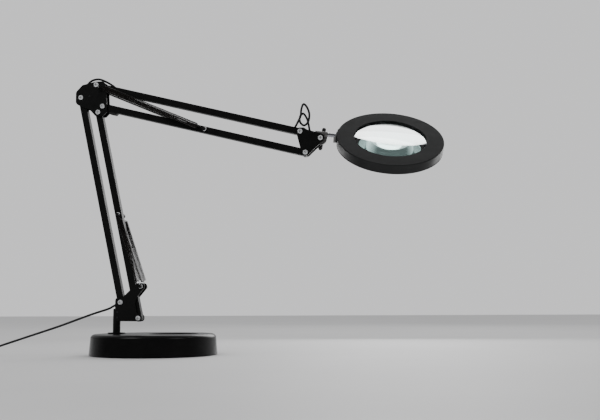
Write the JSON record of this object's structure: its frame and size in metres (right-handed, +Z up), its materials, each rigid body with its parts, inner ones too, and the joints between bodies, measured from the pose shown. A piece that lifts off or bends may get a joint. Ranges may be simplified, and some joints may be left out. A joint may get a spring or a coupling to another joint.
{
  "type": "magnifying lamp",
  "caption": "Desk magnifying lamp: ring light round a glass lens on a sprung double-bar arm, with a weighted round base.",
  "frame": {"origin": "centre of the base's underside, on the floor the lamp stands on", "axes": "+X from the post towards the lamp head at rest, +Z up, the arms lie in the plane y = 0"},
  "size_m": [0.7169, 0.2814, 0.4203],
  "materials": {
    "black_coat": "satin black powder coat with fine texture",
    "base_coat": "smooth satin black enamel",
    "iron": "rough as-cast iron",
    "zinc_steel": "bright zinc-plated steel",
    "dark_steel": "dark oxide steel",
    "strap_steel": "dull grey folded steel strap",
    "chrome": "polished chrome tube",
    "spring_steel": "dark nickel-plated spring wire",
    "nylon": "black nylon",
    "foam_rubber": "soft black anti-slip sheet",
    "cap_rubber": "dipped black vinyl",
    "cable_sheath": "soft black cable sheath",
    "controller_plastic": "fine-grained black plastic",
    "button_plastic": "dark grey button plastic",
    "housing_plastic": "matte charcoal black plastic",
    "lens_glass": "clear polished glass with a faint green edge",
    "board": "white solder mask",
    "led": "light-emitting diode package",
    "milk_plastic": "milk-white translucent plastic"
  },
  "bodies": {
    "base": {"base_cover": "base_coat", "base_weight": "iron", "base_plate": "dark_steel", "base_foot_pad": "foam_rubber", "base_screws": "zinc_steel", "post_flange": "base_coat", "post_bush": "dark_steel", "power_cable": "cable_sheath", "controller_top": "controller_plastic", "controller_bottom": "controller_plastic", "usb_overmould": "cable_sheath", "usb_shell": "zinc_steel"},
    "power_button_body": {"power_button": "button_plastic"},
    "mode_button_body": {"mode_button": "button_plastic"},
    "bright_button_body": {"bright_button": "button_plastic"},
    "post_body": {"post": "black_coat", "lower_plate_near": "black_coat", "lower_plate_far": "black_coat", "bracket_pins": "dark_steel", "lower_screws": "zinc_steel", "lower_nuts": "zinc_steel", "lower_washers": "nylon", "spring_anchor_pins": "black_coat"},
    "rear_bar_body": {"lower_rear_bar": "black_coat"},
    "front_bar_body": {"lower_front_bar": "black_coat", "lower_spring_pin": "dark_steel"},
    "lower_spring_body": {"lower_springs": "spring_steel"},
    "lower_link_body": {"lower_spring_links": "spring_steel"},
    "elbow_body": {"elbow_plate_near": "black_coat", "elbow_plate_far": "black_coat", "elbow_spacer": "dark_steel", "elbow_screws": "zinc_steel", "elbow_nuts": "zinc_steel", "elbow_washers": "nylon", "elbow_cable": "cable_sheath"},
    "top_bar_body": {"upper_top_bar": "black_coat"},
    "bottom_bar_body": {"upper_bottom_bar": "black_coat", "upper_spring_pin": "dark_steel", "arm_bumper": "foam_rubber"},
    "upper_spring_body": {"upper_springs": "spring_steel"},
    "upper_link_body": {"upper_spring_links": "spring_steel"},
    "head_bracket_body": {"head_plate_near": "black_coat", "head_plate_far": "black_coat", "head_screws": "zinc_steel", "head_nuts": "zinc_steel", "head_washers": "nylon", "head_cable": "cable_sheath"},
    "clamp_body": {"rod_clamp": "strap_steel"},
    "t_handle_body": {"t_handle_bar": "zinc_steel", "t_handle_caps": "cap_rubber"},
    "head_body": {"head_rod": "chrome", "head_tab": "strap_steel", "head_top_housing": "housing_plastic", "head_rim": "housing_plastic", "lens_retainer": "housing_plastic", "lens": "lens_glass", "led_board": "board", "leds": "led", "diffuser": "milk_plastic", "head_screws_small": "zinc_steel"}
  },
  "joints": [
    {"name": "post_swivel", "type": "hinge", "parent": "base", "child": "post_body", "pos_m": [-0.057, 0, 0.031], "axis": [0, 0, 1], "range_deg": [-170, 170], "deforming": ["power_cable"]},
    {"name": "lower_arm", "type": "hinge", "parent": "post_body", "child": "rear_bar_body", "pos_m": [-0.0497, 0, 0.0773], "axis": [0, 1, 0], "range_deg": [-15, 60], "deforming": ["lower_springs", "lower_spring_links"]},
    {"name": "lower_arm_front", "type": "hinge", "parent": "post_body", "child": "front_bar_body", "pos_m": [-0.0223, 0, 0.0538], "axis": [0, 1, 0], "range_deg": [-15, 60]},
    {"name": "elbow_level", "type": "hinge", "parent": "rear_bar_body", "child": "elbow_body", "pos_m": [-0.11766, 0, 0.38898], "axis": [0, 1, 0], "range_deg": [-60, 15]},
    {"name": "lower_spring_turn", "type": "hinge", "parent": "post_body", "child": "lower_spring_body", "pos_m": [-0.0181, 0, 0.1005], "axis": [0, 1, 0], "range_deg": [-21.85, 84.4]},
    {"name": "lower_link_turn", "type": "hinge", "parent": "front_bar_body", "child": "lower_link_body", "pos_m": [-0.05428, 0, 0.20752], "axis": [0, 1, 0], "range_deg": [-6.85, 24.4]},
    {"name": "upper_arm", "type": "hinge", "parent": "elbow_body", "child": "top_bar_body", "pos_m": [-0.09116, 0, 0.40608], "axis": [0, 1, 0], "range_deg": [-40, 25], "deforming": ["upper_springs", "upper_spring_links", "elbow_cable"]},
    {"name": "upper_arm_bottom", "type": "hinge", "parent": "elbow_body", "child": "bottom_bar_body", "pos_m": [-0.08346, 0, 0.37448], "axis": [0, 1, 0], "range_deg": [-40, 25]},
    {"name": "head_level", "type": "hinge", "parent": "top_bar_body", "child": "head_bracket_body", "pos_m": [0.21907, 0, 0.32758], "axis": [0, 1, 0], "range_deg": [-25, 40], "deforming": ["head_cable"]},
    {"name": "upper_spring_turn", "type": "hinge", "parent": "elbow_body", "child": "upper_spring_body", "pos_m": [-0.09116, 0, 0.40608], "axis": [0, 1, 0], "range_deg": [-37.2, 23.62]},
    {"name": "upper_link_turn", "type": "hinge", "parent": "bottom_bar_body", "child": "upper_link_body", "pos_m": [0.07553, 0, 0.33425], "axis": [0, 1, 0], "range_deg": [-3.37, 4.8]},
    {"name": "head_tilt", "type": "hinge", "parent": "head_bracket_body", "child": "clamp_body", "pos_m": [0.24927, 0, 0.31698], "axis": [0, 1, 0], "range_deg": [-45, 45]},
    {"name": "head_roll", "type": "hinge", "parent": "clamp_body", "child": "head_body", "pos_m": [0.25024, 0, 0.32371], "axis": [0.9898, 0, -0.1426], "range_deg": [-50, 125]},
    {"name": "t_handle_turn", "type": "hinge", "parent": "head_bracket_body", "child": "t_handle_body", "pos_m": [0.24927, 0.018, 0.31698], "axis": [0, 1, 0], "range_deg": [-90, 90]},
    {"name": "power_press", "type": "slide", "parent": "base", "child": "power_button_body", "axis": [0, 0, -1], "range_m": [0, 0.0006], "stiffness_N_per_m": 400},
    {"name": "mode_press", "type": "slide", "parent": "base", "child": "mode_button_body", "axis": [0, 0, -1], "range_m": [0, 0.0006], "stiffness_N_per_m": 400},
    {"name": "bright_press", "type": "slide", "parent": "base", "child": "bright_button_body", "axis": [0, 0, -1], "range_m": [0, 0.0006], "stiffness_N_per_m": 400}
  ],
  "couplings": [
    {"joint": "lower_arm_front", "follows": "lower_arm", "ratio": 1},
    {"joint": "elbow_level", "follows": "lower_arm", "ratio": -1},
    {"joint": "lower_spring_turn", "follows": "lower_arm", "ratio": 1.39},
    {"joint": "lower_link_turn", "follows": "lower_arm", "ratio": 0.39},
    {"joint": "upper_arm_bottom", "follows": "upper_arm", "ratio": 1},
    {"joint": "head_level", "follows": "upper_arm", "ratio": -1},
    {"joint": "upper_spring_turn", "follows": "upper_arm", "ratio": 0.905},
    {"joint": "upper_link_turn", "follows": "upper_arm", "ratio": -0.095}
  ]
}
